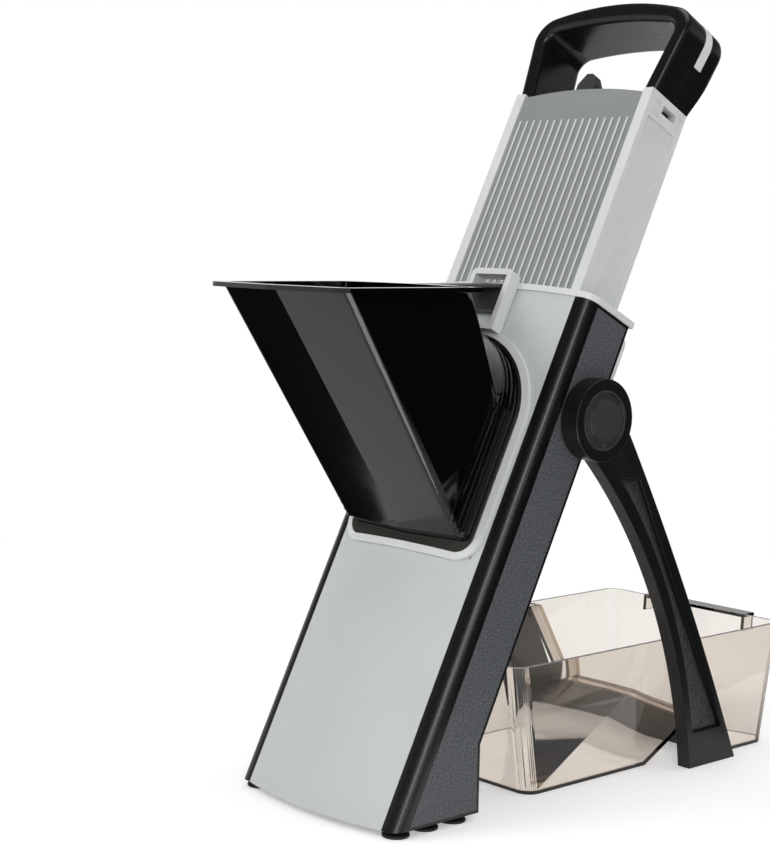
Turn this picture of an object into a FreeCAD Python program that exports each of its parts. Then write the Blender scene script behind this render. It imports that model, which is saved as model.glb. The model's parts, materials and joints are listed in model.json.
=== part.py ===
import FreeCAD
import Part
import Sketcher
import math
import os

from FreeCAD import Placement, Rotation, Vector

# Upright push-down mandoline slicer, in millimetres, +Z up.
# A leaning tower holds a sprung carriage that carries the blade. A hopper feeds the front of the
# tower, a folding stand props its back, and a clear bin under it catches the slices.
# The origin is on the table, at the middle of the slicer's length and width.
# Tower sizes are along its own axes: u across, t up the slope, n out of the front.

DIMENSIONS = {
    # Tower
    "lean": 26.4,
    "foot_height": 3.6,
    "tower_half": 57.0,
    "tower_length": 268.2,
    "shell_depth": 33.4,
    "shell_wall": 2.5,
    "corner_radius": 7.0,
    "base_rear": 53.5,
    "panel_half": 48.2,
    "panel_bulge": 5.5,
    "panel_skin": 2.2,
    "collar_height": 3.3,
    "collar_lip": 0.8,
    "base_plate": 2.6,
    "bridge_low": 236.0,
    "bridge_height": 28.0,
    "bridge_skin": 2.4,
    "bridge_corner": 6.0,
    "screw_radius": 2.6,
    "screw_head": 1.6,
    "screw_inset": 7.0,
    # Mouth of the tower and the frame round it
    "mouth_half": 42.9,
    "mouth_sill": 132.0,
    "mouth_arch": 199.5,
    "mouth_corner": 9.0,
    "frame_width": 3.6,
    "frame_rise": 1.8,
    "frame_lip": 0.9,
    "loop_half": 14.0,
    "loop_bar": 3.2,
    "loop_height": 33.5,
    "loop_stand": 6.8,
    # Carriage
    "carriage_half": 46.7,
    "carriage_front": 2.8,
    "carriage_depth": 29.8,
    "carriage_low": 134.0,
    "carriage_top": 385.0,
    "carriage_wall": 4.5,
    "carriage_bar": 5.0,
    "flange_skin": 2.6,
    "plate_half": 40.4,
    "plate_gap": 0.3,
    "track_depth": 2.0,
    "track_drop": 13.5,
    "track_edge": 3.3,
    "running_gap": 0.4,
    "collar_gap": 0.6,
    "rail_low": 24.0,
    "rail_top": 256.0,
    "rail_front": 13.0,
    "snap_drop": 8.4,
    "snap_height": 4.4,
    "snap_front": 14.5,
    "snap_width": 10.8,
    "niche_depth": 1.2,
    "niche_width": 4.4,
    "niche_height": 8.0,
    "niche_rise": 2.0,
    "niche_gap": 1.6,
    # Slicing parts in the carriage
    "plate_skin": 2.5,
    "plate_drop": 0.7,
    "plate_arch": 3.2,
    "plate_over": 1.5,
    "plain_band": 14.5,
    "rib_count": 16,
    "rib_pitch": 4.9,
    "rib_width": 1.7,
    "rib_rise": 0.7,
    "blade_low": 243.0,
    "blade_length": 14.5,
    "blade_skin": 0.9,
    "blade_bevel": 3.0,
    "holder_depth": 2.6,
    "holder_step": 1.0,
    "runway_step": 1.0,
    "runway_gap": 1.5,
    "arm_width": 5.0,
    "arm_depth": 4.0,
    "arm_back": 3.2,
    "arm_inset": 3.0,
    "cover_low": 262.0,
    "cover_back": 25.5,
    "cover_skin": 2.0,
    "dial_radius": 14.0,
    "dial_skin": 4.4,
    "dial_bar_half": 3.9,
    "dial_bar_end": 1.4,
    "dial_shaft": 4.0,
    "shaft_end": 2.0,
    "shaft_gap": 0.06,
    "dial_side": 20.0,
    "dial_drop": 50.0,
    "nut_half": 8.0,
    "comb_count": 8,
    "comb_pitch": 7.6,
    "comb_skin": 1.0,
    "comb_slot": 1.8,
    "comb_high": 12.5,
    "comb_throw": 3.4,
    "comb_inset": 1.0,
    "comb_drop": 3.0,
    "comb_hide": 0.5,
    # Springs on rods that lift the carriage
    "spring_radius": 3.2,
    "spring_wire": 0.9,
    "spring_front": 7.6,
    "spring_out": 51.3,
    "rod_radius": 1.6,
    "rod_gap": 0.3,
    "lug_height": 7.0,
    "lug_gap": 0.4,
    "lug_top": 260.0,
    "seat_height": 5.0,
    "seat_low": 15.0,
    # Handle
    "handle_half": 54.0,
    "handle_height": 44.5,
    "handle_crown": 9.0,
    "handle_shoulder": 14.0,
    "grip_foot": 38.0,
    "grip_half": 44.5,
    "grip_height": 38.5,
    "grip_crown": 4.0,
    "grip_corner": 7.0,
    "handle_front": 4.0,
    "handle_seam": 19.5,
    "handle_rear": 38.0,
    "handle_sweep": 26.0,
    "handle_round": 3.6,
    "tang_width": 3.8,
    "tang_length": 14.0,
    "inlay_rise": 22.0,
    "inlay_width": 5.6,
    "inlay_skin": 1.2,
    "inlay_back": 2.0,
    "inlay_proud": 0.3,
    "inlay_edge": 1.0,
    "lock_side": -3.0,
    "lock_half": 6.0,
    "lock_height": 12.0,
    "lock_depth": 7.0,
    "lock_stem": 3.0,
    "lock_keeper": 5.0,
    "lock_keeper_skin": 2.0,
    "lock_back": 9.5,
    "lock_throw": 8.0,
    # Hopper
    "rim_over": 31.0,
    "rim_half": 44.8,
    "rim_reach": 24.2,
    "rim_side": 51.6,
    "rim_crown": 8.0,
    "rim_flange": 4.4,
    "rim_skin": 2.2,
    "rim_prow": 4.0,
    "hopper_wall": 2.2,
    "hopper_corner": 3.4,
    "hopper_inside_corner": 1.4,
    "throat_prow": 1.2,
    "throat_out": 10.8,
    "seal_out": 3.4,
    "seal_in": 1.8,
    "seal_side": 2.6,
    "seal_sill": 6.5,
    "seal_gap": 0.3,
    "ridge_low": 5.0,
    "ridge_count": 5,
    "ridge_pitch": 3.4,
    "ridge_width": 1.4,
    "ridge_rise": 0.9,
    "ridge_sill": 1.0,
    "latch_back": 0.8,
    "latch_front": 1.2,
    "latch_side": 1.4,
    "latch_drop": 22.0,
    "latch_skin": 1.8,
    "latch_gap": 0.05,
    # Stand
    "pivot_high": 216.8,
    "pivot_back": 28.0,
    "pin_radius": 5.0,
    "pin_gap": 0.05,
    "ear_radius": 12.0,
    "ear_gap": 0.2,
    "leg_gap": 0.6,
    "leg_skin": 7.9,
    "head_radius": 20.0,
    "head_rise": 2.4,
    "foot_front": 199.0,
    "foot_rear": 237.0,
    "leg_bow": 280.0,
    "leg_camber": 1500.0,
    "leg_recess": 2.4,
    "leg_border": 3.6,
    "foot_block": 19.0,
    "cap_radius": 14.6,
    "cap_skin": 2.6,
    "cap_disc": 9.9,
    "cap_rise": 1.2,
    "cap_slot": 1.2,
    "cap_rib": 1.1,
    "bar_height": 17.6,
    "bar_skin": 4.0,
    "bar_inset": 1.0,
    # Catch bin
    "bin_height": 66.5,
    "bin_front": 98.3,
    "bin_rear": 276.0,
    "bin_rake": 15.0,
    "bin_flare": 5.0,
    "bin_neck": 46.5,
    "bin_back": 56.0,
    "bin_wall": 2.0,
    "bin_corner": 8.0,
    "bin_step_gap": 4.0,
    "bin_lip": 8.0,
    "bin_lip_half": 36.0,
    "bin_lip_drop": 9.0,
    "tunnel_toe": 186.0,
    "tunnel_gap": 2.0,
    # Suction feet
    "cup_radius": 6.5,
    "cup_neck": 3.6,
    "cup_lip": 1.3,
    "cup_shoulder": 2.3,
    "cup_count": 3,
    "cup_side": 49.5,
    "cup_front": 8.0,
    "cup_pitch": 17.8,
    # Gaps that all pieces share, and the extra length of cutting and joining solids
    "fit_gap": 0.1,
    "slide_gap": 0.3,
    "cut_spare": 1.0,
}

doc = FreeCAD.newDocument("MandolineSlicer")
sheet = doc.addObject("Spreadsheet::Sheet", "Dims")
for row, (alias, number) in enumerate(DIMENSIONS.items(), start=1):
    sheet.set("A%d" % row, alias.replace("_", " "))
    sheet.set("B%d" % row, str(number))
    sheet.setAlias("B%d" % row, alias)
doc.recompute()


class Size:
    """A length with the sheet expression that drives it."""

    def __init__(self, text, value):
        self.text = text
        self.value = value

    def __add__(self, other):
        other = size(other)
        return Size("(%s + %s)" % (self.text, other.text), self.value + other.value)

    def __sub__(self, other):
        other = size(other)
        return Size("(%s - %s)" % (self.text, other.text), self.value - other.value)

    def __mul__(self, other):
        other = size(other)
        return Size("(%s * %s)" % (self.text, other.text), self.value * other.value)

    def __truediv__(self, other):
        other = size(other)
        return Size("(%s / %s)" % (self.text, other.text), self.value / other.value)

    def __neg__(self):
        return Size("(0 - %s)" % self.text, -self.value)

    __radd__ = __add__
    __rmul__ = __mul__

    def __rsub__(self, other):
        return size(other) - self


def size(number):
    """Any number as a Size."""
    if isinstance(number, Size):
        return number
    return Size("%.6f" % number, float(number))


class Dimensions:
    """The sheet's cells, as Sizes."""

    def __getattr__(self, alias):
        return Size("Dims." + alias, float(sheet.get(alias)))


d = Dimensions()
sine = Size("sin(Dims.lean * 1 deg)", math.sin(math.radians(d.lean.value)))
cosine = Size("cos(Dims.lean * 1 deg)", math.cos(math.radians(d.lean.value)))
tangent = sine / cosine
# The toe is the tower's lower front edge. The origin lies midway between hopper rim and bin.
toe = (d.rim_reach + d.rim_flange + d.rim_prow - d.bin_rear - d.bin_flare - d.bin_lip) / 2

over = d.cut_spare
arch_top = d.mouth_arch + d.mouth_half
loop_top = arch_top + d.loop_height
rim_rise = (arch_top + d.rim_over) * cosine
throat_half = d.mouth_half - d.seal_side
throat_sill = d.mouth_sill + d.seal_sill
track_top = d.carriage_top - d.track_drop
snap_low = d.carriage_top - d.snap_drop
snap_rear = d.snap_front + d.snap_width
dial_high = d.carriage_top - d.dial_drop
handle_top = d.carriage_top + d.handle_height
inlay_low = d.carriage_top + d.inlay_rise

nodes = []


# Bodies and their frames

def new_body(label, on_tower=True):
    """An empty body in the tower's leaning frame, or upright with the toe at Y 0."""
    body = doc.addObject("PartDesign::Body", label)
    body.Label = label
    turn = Rotation(Vector(1, 0, 0), 90 - d.lean.value if on_tower else 0)
    rise = d.foot_height.value if on_tower else 0
    body.Placement = Placement(Vector(0, toe.value, rise), turn)
    body.setExpression("Placement.Base.y", toe.text)
    if on_tower:
        body.setExpression("Placement.Base.z", d.foot_height.text)
        body.setExpression("Placement.Rotation.Angle", "90 - Dims.lean")
    return body


def node(item, label):
    """Marks a document object as one finished sub-part."""
    item.Label = label
    nodes.append(item)
    return item


def new_sketch(body, plane, start):
    """A sketch on one of the body's own planes, moved along that plane's body axis."""
    sketch = body.newObject("Sketcher::SketchObject", body.Name + "_outline")
    support = [item for item in body.Origin.OriginFeatures if item.Role == plane + "_Plane"][0]
    sketch.AttachmentSupport = [(support, "")]
    sketch.MapMode = "FlatFace"
    shift = -size(start) if plane == "XZ" else size(start)
    sketch.AttachmentOffset = Placement(Vector(0, 0, shift.value), Rotation())
    sketch.setExpression("AttachmentOffset.Base.z", shift.text)
    return sketch


def pin_point(sketch, item, end, x, y):
    """Fixes a point of the sketch at a place that the sheet drives."""
    for kind, length in (("DistanceX", size(x)), ("DistanceY", size(y))):
        number = sketch.addConstraint(Sketcher.Constraint(kind, -1, 1, item, end, length.value))
        sketch.setExpression("Constraints[%d]" % number, length.text)


def draw(sketch, corners, bends=None):
    """A closed outline through corners. An edge in bends is an arc of that radius,
    with its centre on the left of the way round, or on the right if negative."""
    bends = bends or {}
    points = [Vector(size(x).value, size(y).value, 0) for x, y in corners]
    ends = []
    for i, start in enumerate(points):
        stop = points[(i + 1) % len(points)]
        if i not in bends:
            ends.append((sketch.addGeometry(Part.LineSegment(start, stop), False), 1, 2))
            continue
        radius = size(bends[i])
        chord = stop - start
        reach = max(radius.value ** 2 - chord.Length ** 2 / 4, 0) ** 0.5
        left = Vector(-chord.y, chord.x, 0).normalize() * math.copysign(reach, radius.value)
        centre = (start + stop) * 0.5 + left
        circle = Part.Circle(centre, Vector(0, 0, 1), abs(radius.value))
        first, last = (start, stop) if radius.value > 0 else (stop, start)
        arc = Part.ArcOfCircle(circle, circle.parameter(first), circle.parameter(last))
        item = sketch.addGeometry(arc, False)
        ends.append((item, 1, 2) if radius.value > 0 else (item, 2, 1))
        length = radius if radius.value > 0 else -radius
        number = sketch.addConstraint(Sketcher.Constraint("Radius", item, length.value))
        sketch.setExpression("Constraints[%d]" % number, length.text)
    for i, (item, first, last) in enumerate(ends):
        following = ends[(i + 1) % len(ends)]
        sketch.addConstraint(Sketcher.Constraint("Coincident", item, last, following[0], following[1]))
        pin_point(sketch, item, first, corners[i][0], corners[i][1])


def draw_circle(sketch, x, y, radius):
    centre = Vector(size(x).value, size(y).value, 0)
    item = sketch.addGeometry(Part.Circle(centre, Vector(0, 0, 1), radius.value), False)
    pin_point(sketch, item, 3, x, y)
    number = sketch.addConstraint(Sketcher.Constraint("Radius", item, radius.value))
    sketch.setExpression("Constraints[%d]" % number, radius.text)


def sweep_sketch(body, sketch, plane, length, cut):
    """Pads or pockets a sketch along its body axis, and checks that it did something."""
    doc.recompute()
    before = body.Shape.Volume if body.Tip else 0
    feature = body.newObject("PartDesign::Pocket" if cut else "PartDesign::Pad", body.Name + "_feature")
    feature.Profile = sketch
    feature.setExpression("Length", size(length).text)
    feature.Reversed = (plane == "XZ") != cut
    doc.recompute()
    change = body.Shape.Volume - before
    if cut == (change >= 0):
        raise RuntimeError("%s: a feature changed the volume by %.3f" % (body.Label, change))
    return feature


def extrude(body, plane, corners, start, stop, bends=None, cut=False):
    """Adds or cuts the prism of an outline between two heights over a body plane."""
    sketch = new_sketch(body, plane, start)
    draw(sketch, corners, bends)
    return sweep_sketch(body, sketch, plane, size(stop) - start, cut)


def cylinder(body, plane, x, y, radius, start, stop, cut=False):
    sketch = new_sketch(body, plane, start)
    draw_circle(sketch, x, y, size(radius))
    return sweep_sketch(body, sketch, plane, size(stop) - start, cut)


def rectangle(x0, x1, y0, y1):
    return [(x0, y0), (x1, y0), (x1, y1), (x0, y1)]


def block(body, u0, u1, t0, t1, n0, n1, cut=False):
    """A box in the body's own axes."""
    return extrude(body, "XY", rectangle(u0, u1, t0, t1), n0, n1, cut=cut)


def repeat(body, feature, count, pitch, axis="X_Axis"):
    """Copies one feature along a body axis."""
    pattern = body.newObject("PartDesign::LinearPattern", body.Name + "_row")
    pattern.Originals = [feature]
    line = [item for item in body.Origin.OriginFeatures if item.Role == axis][0]
    pattern.Direction = (line, [""])
    pattern.setExpression("Length", (pitch * (count - 1)).text)
    pattern.setExpression("Occurrences", count.text)
    body.Tip = pattern
    doc.recompute()
    return pattern


def round_edges(body, radius, wanted):
    """Rounds the edges of the body that pass a test."""
    doc.recompute()
    base = body.Tip
    names = ["Edge%d" % (i + 1) for i, edge in enumerate(base.Shape.Edges) if wanted(edge)]
    feature = body.newObject("PartDesign::Fillet", body.Name + "_round")
    feature.Base = (base, names)
    feature.setExpression("Radius", size(radius).text)
    doc.recompute()
    return feature


def box_of(edge):
    return edge.BoundBox


def flat(low, high):
    return abs(high - low) < 0.01


def at(value, target):
    return abs(value - size(target).value) < 0.01


def boolean(kind, label, base, tool):
    item = doc.addObject("Part::" + kind, label)
    item.Base = base
    item.Tool = tool
    doc.recompute()
    return item


# Outlines that several pieces share

def crowned(half, rear, front, bulge):
    """A strip across the tower with a crowned front: corners, and the radius of the crown."""
    radius = (half * half + bulge * bulge) / (2 * bulge)
    return [(-half, rear), (half, rear), (half, front), (-half, front)], {2: radius}


def tombstone(half, sill, spring, prow=0, corner=None, rise=None):
    """The mouth's arched outline. Its lower edge can be broken, its corners rounded and its arch flattened."""
    rise = half if rise is None else rise
    arch = (half * half + rise * rise) / (rise * 2)
    top = [(half, spring), (0, spring + rise), (-half, spring)]
    if corner is None:
        return [(-half, sill), (0, sill - prow), (half, sill)] + top, {3: arch, 4: arch}
    slope = size(prow) / half
    low, side = sill - slope * corner, sill + corner
    bend = corner + corner * slope
    outline = [(-half, side), (corner - half, low), (0, sill - prow), (half - corner, low), (half, side)]
    return outline + top, {0: bend, 3: bend, 5: arch, 6: arch}


def rounded(corners, radius, sharp):
    """A square-cornered outline with its corners rounded, but for the sharp ones: corners and bends."""
    outline, bends = [], {}
    for i, (x, y) in enumerate(corners):
        if i in sharp:
            outline.append((x, y))
            continue
        bends[len(outline)] = radius
        for near in (corners[i - 1], corners[(i + 1) % len(corners)]):
            across = near[0].value - x.value
            along = near[1].value - y.value
            if abs(across) > abs(along):
                outline.append((x + radius * math.copysign(1, across), y))
            else:
                outline.append((x, y + radius * math.copysign(1, along)))
    return outline, bends


def upright_edge(edge):
    """True for an edge that runs along n."""
    bounds = box_of(edge)
    return flat(bounds.XMin, bounds.XMax) and flat(bounds.YMin, bounds.YMax)


# Tower

def front_panel():
    """The crowned front, open at the mouth and cut level with the table."""
    body = new_body("front_panel")
    section, bends = crowned(d.panel_half, -d.panel_skin, 0, d.panel_bulge)
    bends[0] = -bends[2]
    extrude(body, "XZ", section, -d.panel_bulge, d.tower_length, bends)
    mouth, arch = tombstone(d.mouth_half + d.frame_lip, d.mouth_sill - d.frame_lip, d.mouth_arch)
    front, back = d.panel_bulge * 2, d.panel_skin * 2
    extrude(body, "XY", mouth, -back, front, arch, cut=True)
    level = [(-(front * tangent), front), (-front, front), (-front, -back), (back * tangent, -back)]
    extrude(body, "YZ", level, -d.tower_half, d.tower_half, cut=True)
    node(body, "front_panel")


def crowned_solid(label, low, high):
    """A slab under the crowned front, between two offsets from the panel's face."""
    body = new_body(label)
    section, crown = crowned(d.panel_half, low, high, d.panel_bulge)
    extrude(body, "XZ", section, d.mouth_sill - d.frame_width * 2, loop_top, {0: -crown[2], 2: crown[2]})
    return body


def mouth_prism(label, grow):
    body = new_body(label)
    outline, arch = tombstone(d.mouth_half + grow, d.mouth_sill - grow, d.mouth_arch)
    extrude(body, "XY", outline, -d.panel_bulge * 2, d.panel_bulge * 4, arch)
    round_edges(body, d.mouth_corner + grow,
                lambda edge: upright_edge(edge) and at(edge.BoundBox.YMin, d.mouth_sill - grow)
                and abs(edge.BoundBox.XMin) > 1)
    return body


def chute_frame():
    """The raised rim round the mouth, with a lip through the panel and the latch loop on top."""
    rim = boolean("Common", "rim_ring", crowned_solid("rim_slab", 0, d.frame_rise),
                  mouth_prism("rim_outline", d.frame_width))
    lip = boolean("Common", "rim_lip", crowned_solid("lip_slab", -d.panel_skin, 0),
                  mouth_prism("lip_outline", d.frame_lip - d.fit_gap))
    ring = boolean("Fuse", "rim_and_lip", rim, lip)
    ring = boolean("Cut", "rim_open", ring, mouth_prism("mouth_outline", size(0)))
    loop = new_body("latch_loop")
    back = d.panel_bulge
    block(loop, -d.loop_half, d.loop_half, arch_top + d.frame_lip, loop_top, back, back + d.loop_stand)
    round_edges(loop, d.loop_bar, lambda edge: upright_edge(edge) and at(edge.BoundBox.YMin, loop_top))
    hole = d.loop_half - d.loop_bar
    block(loop, -hole, hole, arch_top + d.frame_width + d.frame_lip, loop_top - d.loop_bar,
          back - over, back + d.loop_stand + over, cut=True)
    node(boolean("Fuse", "chute_frame", ring, loop), "chute_frame")


def side_shell(label, side):
    """A tray that closes one flank, with its rounded front corner and the ear for the stand."""
    inner = d.panel_half
    outer = d.tower_half
    depth = outer - inner
    body = new_body(label)
    heel = (d.base_rear - d.shell_depth * cosine) / sine
    toe_rise = d.shell_depth * tangent
    base_foot = d.base_rear * sine
    outline = [(0, 0), (base_foot, -d.base_rear * cosine), (heel, -d.shell_depth)]
    outline += [(d.tower_length, -d.shell_depth), (d.tower_length, 0)]
    start = inner if side > 0 else -outer
    extrude(body, "YZ", outline, start, start + depth)
    face = side * outer.value
    round_edges(body, d.corner_radius,
                lambda edge: at(edge.BoundBox.XMin, face) and flat(edge.BoundBox.XMin, edge.BoundBox.XMax)
                and flat(edge.BoundBox.ZMin, edge.BoundBox.ZMax) and at(edge.BoundBox.ZMin, 0))
    wall = d.shell_wall
    hollow = [(wall * 2, -wall), (toe_rise + wall * 2, -d.shell_depth + wall)]
    hollow += [(d.tower_length - wall, -d.shell_depth + wall), (d.tower_length - wall, -wall)]
    open_start = start if side > 0 else start + wall
    extrude(body, "YZ", hollow, open_start, open_start + depth - wall, cut=True)
    cylinder(body, "YZ", d.pivot_high, -d.pivot_back, d.ear_radius, start, start + depth)
    cylinder(body, "YZ", d.pivot_high, -d.pivot_back, d.pin_radius,
             start - over, start + depth + over, cut=True)
    out = d.spring_out * side
    block(body, out - d.spring_radius, out + d.spring_radius, d.seat_low, d.seat_low + d.seat_height,
          -d.spring_front - d.spring_radius, -wall)
    node(body, label)


def top_collar():
    """The light ring that caps the tower and guides the carriage."""
    body = new_body("top_collar")
    half = d.tower_half + d.collar_lip
    rear = -d.shell_depth - d.bridge_skin
    front = d.collar_lip
    radius = (d.panel_half * d.panel_half + d.panel_bulge * d.panel_bulge) / (2 * d.panel_bulge)
    chamfer = d.corner_radius
    outline = [(-half, rear), (half, rear), (half, -chamfer), (d.panel_half, front), (-d.panel_half, front)]
    outline += [(-half, -chamfer)]
    bend = (half - d.panel_half) * 1.2
    low = d.tower_length
    extrude(body, "XZ", outline, low, low + d.collar_height, {2: bend, 3: radius, 4: bend})
    inside = d.carriage_half + d.collar_gap
    top = low + d.collar_height + over
    block(body, -inside, inside, low - over, top,
          -d.carriage_front - d.carriage_depth - d.collar_gap, -d.carriage_front + d.collar_gap, cut=True)
    loop = d.loop_half + d.fit_gap
    block(body, -loop, loop, low - over, top, d.panel_bulge - d.fit_gap, d.panel_bulge * 2, cut=True)
    node(body, "top_collar")


def base_plate():
    """Ties the two flanks together at the foot."""
    body = new_body("base_plate", on_tower=False)
    block(body, -d.panel_half, d.panel_half, d.panel_skin * 2, d.base_rear - d.shell_wall,
          d.foot_height, d.foot_height + d.base_plate)
    node(body, "base_plate")


def rear_bridge():
    """Ties the two flanks together behind the carriage, under the collar."""
    body = new_body("rear_bridge")
    top = d.bridge_low + d.bridge_height
    back = d.shell_depth + d.bridge_skin
    block(body, -d.tower_half, d.tower_half, d.bridge_low, top, -back, -d.shell_depth)
    round_edges(body, d.bridge_corner, upright_edge)
    node(body, "rear_bridge")
    screws = new_body("bridge_screws")
    side = (d.tower_half + d.panel_half) / 2
    for out in (-side, side):
        for high in (d.bridge_low + d.screw_inset, top - d.screw_inset):
            cylinder(screws, "XY", out, high, d.screw_radius, -back - d.screw_head, -back)
    node(screws, "bridge_screws")


def guide_rail(label, side):
    """A rail on the flank that runs in the carriage's side track."""
    body = new_body(label)
    track_floor = d.carriage_half - d.track_depth
    inner = track_floor + d.running_gap
    outer = d.tower_half - d.shell_wall
    start, stop = (inner, outer) if side > 0 else (-outer, -inner)
    rear = d.carriage_front + d.carriage_depth - d.track_edge - d.running_gap
    block(body, start, stop, d.rail_low, d.rail_top, -rear, -d.rail_front)
    ear = d.panel_half - d.ear_gap
    ear_start, ear_stop = (ear, outer + over) if side > 0 else (-outer - over, -ear)
    cylinder(body, "YZ", d.pivot_high, -d.pivot_back, d.ear_radius + d.ear_gap, ear_start, ear_stop, cut=True)
    node(body, label)


def spring_rod(label, side):
    """The rod in the flank that keeps a return spring straight."""
    body = new_body(label)
    cylinder(body, "XZ", d.spring_out * side, -d.spring_front, d.rod_radius,
             d.seat_low + d.seat_height, d.tower_length - d.shell_wall)
    node(body, label)


def return_spring(label, side):
    """The coil of a return spring, between the flank's seat and the carriage's lug."""
    body = new_body(label)
    low = d.seat_low + d.seat_height
    high = d.lug_top - d.lug_height
    cylinder(body, "XZ", d.spring_out * side, -d.spring_front, d.spring_radius, low, high)
    cylinder(body, "XZ", d.spring_out * side, -d.spring_front, d.spring_radius - d.spring_wire,
             low, high, cut=True)
    node(body, label)


def suction_feet():
    """Six rubber cups under the flanks, turned and then copied along each flank."""
    body = new_body("suction_feet", on_tower=False)
    profile = [(0, 0), (d.cup_radius, 0), (d.cup_radius, d.cup_lip), (d.cup_neck, d.cup_shoulder)]
    profile += [(d.cup_neck, d.foot_height), (0, d.foot_height)]
    for side in (-1, 1):
        sketch = new_sketch(body, "YZ", d.cup_side * side)
        sketch.setExpression("AttachmentOffset.Base.x", d.cup_front.text)
        draw(sketch, profile)
        doc.recompute()
        turned = body.newObject("PartDesign::Revolution", "turned_cup")
        turned.Profile = sketch
        turned.ReferenceAxis = (sketch, ["V_Axis"])
        turned.Angle = 360
        doc.recompute()
        repeat(body, turned, d.cup_count, d.cup_pitch, "Y_Axis")
    node(body, "suction_feet")


def pivot_pin(label, side):
    """The pin through the flank's ear that the stand turns on."""
    body = new_body(label)
    inner = d.panel_half
    outer = d.tower_half + d.leg_gap + d.leg_skin + d.head_rise - d.cap_skin
    start, stop = (inner, outer) if side > 0 else (-outer, -inner)
    cylinder(body, "YZ", d.pivot_high, -d.pivot_back, d.pin_radius, start, stop)
    node(body, label)


# Carriage

carriage_rear = d.carriage_front + d.carriage_depth
carriage_inside = d.carriage_half - d.carriage_wall
plate_back = d.carriage_front + d.plate_drop + d.plate_skin
window_low = d.carriage_low + d.carriage_bar
window_top = d.carriage_top - d.carriage_bar


def carriage_frame():
    """The channel that carries the blade, with its side tracks and the handle's snap windows."""
    body = new_body("carriage_frame")
    block(body, -d.carriage_half, d.carriage_half, d.carriage_low, d.carriage_top,
          -carriage_rear, -d.carriage_front)
    block(body, -carriage_inside, carriage_inside, window_low, window_top,
          -carriage_rear, -d.carriage_front - d.flange_skin, cut=True)
    opening = d.plate_half + d.plate_gap
    block(body, -opening, opening, window_low, d.carriage_top,
          -d.carriage_front - d.flange_skin - over, -d.carriage_front, cut=True)
    track_floor = d.carriage_half - d.track_depth
    for start, stop in ((track_floor, d.carriage_half), (-d.carriage_half, -track_floor)):
        block(body, start, stop, d.carriage_low, track_top,
              -carriage_rear + d.track_edge, -d.carriage_front - d.track_edge, cut=True)
    inside = carriage_inside - over
    for start, stop in ((inside, d.carriage_half), (-d.carriage_half, -inside)):
        block(body, start, stop, snap_low, snap_low + d.snap_height, -snap_rear, -d.snap_front, cut=True)
    niche = d.carriage_half - d.niche_depth
    for start, stop in ((niche, d.carriage_half), (-d.carriage_half, -niche)):
        for front in (d.snap_front - d.niche_width - d.niche_gap, snap_rear + d.niche_gap):
            low = track_top + d.niche_rise
            block(body, start, stop, low, low + d.niche_height, -front - d.niche_width, -front, cut=True)
    hole = d.tang_width + d.fit_gap * 2
    for tang in (-carriage_inside, carriage_inside - hole):
        block(body, tang, tang + hole, window_top - over, d.carriage_top,
              -snap_rear + d.slide_gap, -d.snap_front - d.slide_gap, cut=True)
    slot = d.lock_half / 2 + d.slide_gap
    stem = d.lock_stem / 2 + d.slide_gap
    block(body, d.lock_side - slot, d.lock_side + slot + d.lock_throw, window_top - over, d.carriage_top,
          -d.lock_back - stem, -d.lock_back + stem, cut=True)
    out = d.tower_half - d.shell_wall - d.lug_gap
    for side, start, stop in ((1, track_floor, out), (-1, -out, -track_floor)):
        block(body, start, stop, d.lug_top - d.lug_height, d.lug_top,
              -d.spring_front - d.spring_radius, -d.carriage_front - d.niche_depth)
        cylinder(body, "XZ", d.spring_out * side, -d.spring_front, d.rod_radius + d.rod_gap,
                 d.lug_top - d.lug_height, d.lug_top, cut=True)
    node(body, "carriage_frame")


def landing_plate():
    """The ribbed plate that the food slides over after each cut."""
    body = new_body("landing_plate")
    low = d.blade_low + d.blade_length + d.fit_gap * 2
    top = d.carriage_top - d.plate_arch + d.plate_over
    radius = (d.plate_half * d.plate_half + d.plate_arch * d.plate_arch) / (2 * d.plate_arch)
    front = -d.carriage_front - d.plate_drop
    extrude(body, "XY", rectangle(-d.plate_half, d.plate_half, low, top),
            front - d.plate_skin, front, {2: radius})
    first = -(d.rib_pitch * (d.rib_count - 1)) / 2
    rib = block(body, first - d.rib_width / 2, first + d.rib_width / 2, low,
                top - d.plain_band, front, front + d.rib_rise)
    repeat(body, rib, d.rib_count, d.rib_pitch)
    node(body, "landing_plate")


def blade_and_holder():
    holder = new_body("blade_holder")
    blade_front = d.carriage_front + d.plate_drop
    blade_back = blade_front + d.blade_skin
    edge = d.blade_low + d.blade_bevel
    block(holder, -carriage_inside, carriage_inside, edge + d.holder_step, d.blade_low + d.blade_length,
          -d.carriage_front - d.flange_skin - d.holder_depth, -d.carriage_front - d.flange_skin)
    block(holder, -d.plate_half, d.plate_half, edge + d.holder_step, d.blade_low + d.blade_length,
          -d.carriage_front - d.flange_skin - over, -blade_back)
    node(holder, "blade_holder")
    blade = new_body("slicing_blade")
    section = [(d.blade_low, -blade_front), (edge, -blade_back)]
    section += [(d.blade_low + d.blade_length, -blade_back), (d.blade_low + d.blade_length, -blade_front)]
    extrude(blade, "YZ", section, -d.plate_half, d.plate_half)
    node(blade, "slicing_blade")


runway_front = d.carriage_front + d.plate_drop + d.blade_skin + d.runway_step
runway_back = runway_front + d.plate_skin
arm_front = runway_back + d.arm_back
arm_rear = arm_front + d.arm_depth
runway_top = d.blade_low - d.runway_gap
runway_half = d.plate_half - d.fit_gap * 2
comb_low = runway_top - d.comb_high
comb_first = -(d.comb_pitch * (d.comb_count - 1)) / 2
comb_front = runway_back + d.comb_throw + d.running_gap
comb_rear = comb_front + d.arm_depth


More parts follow.
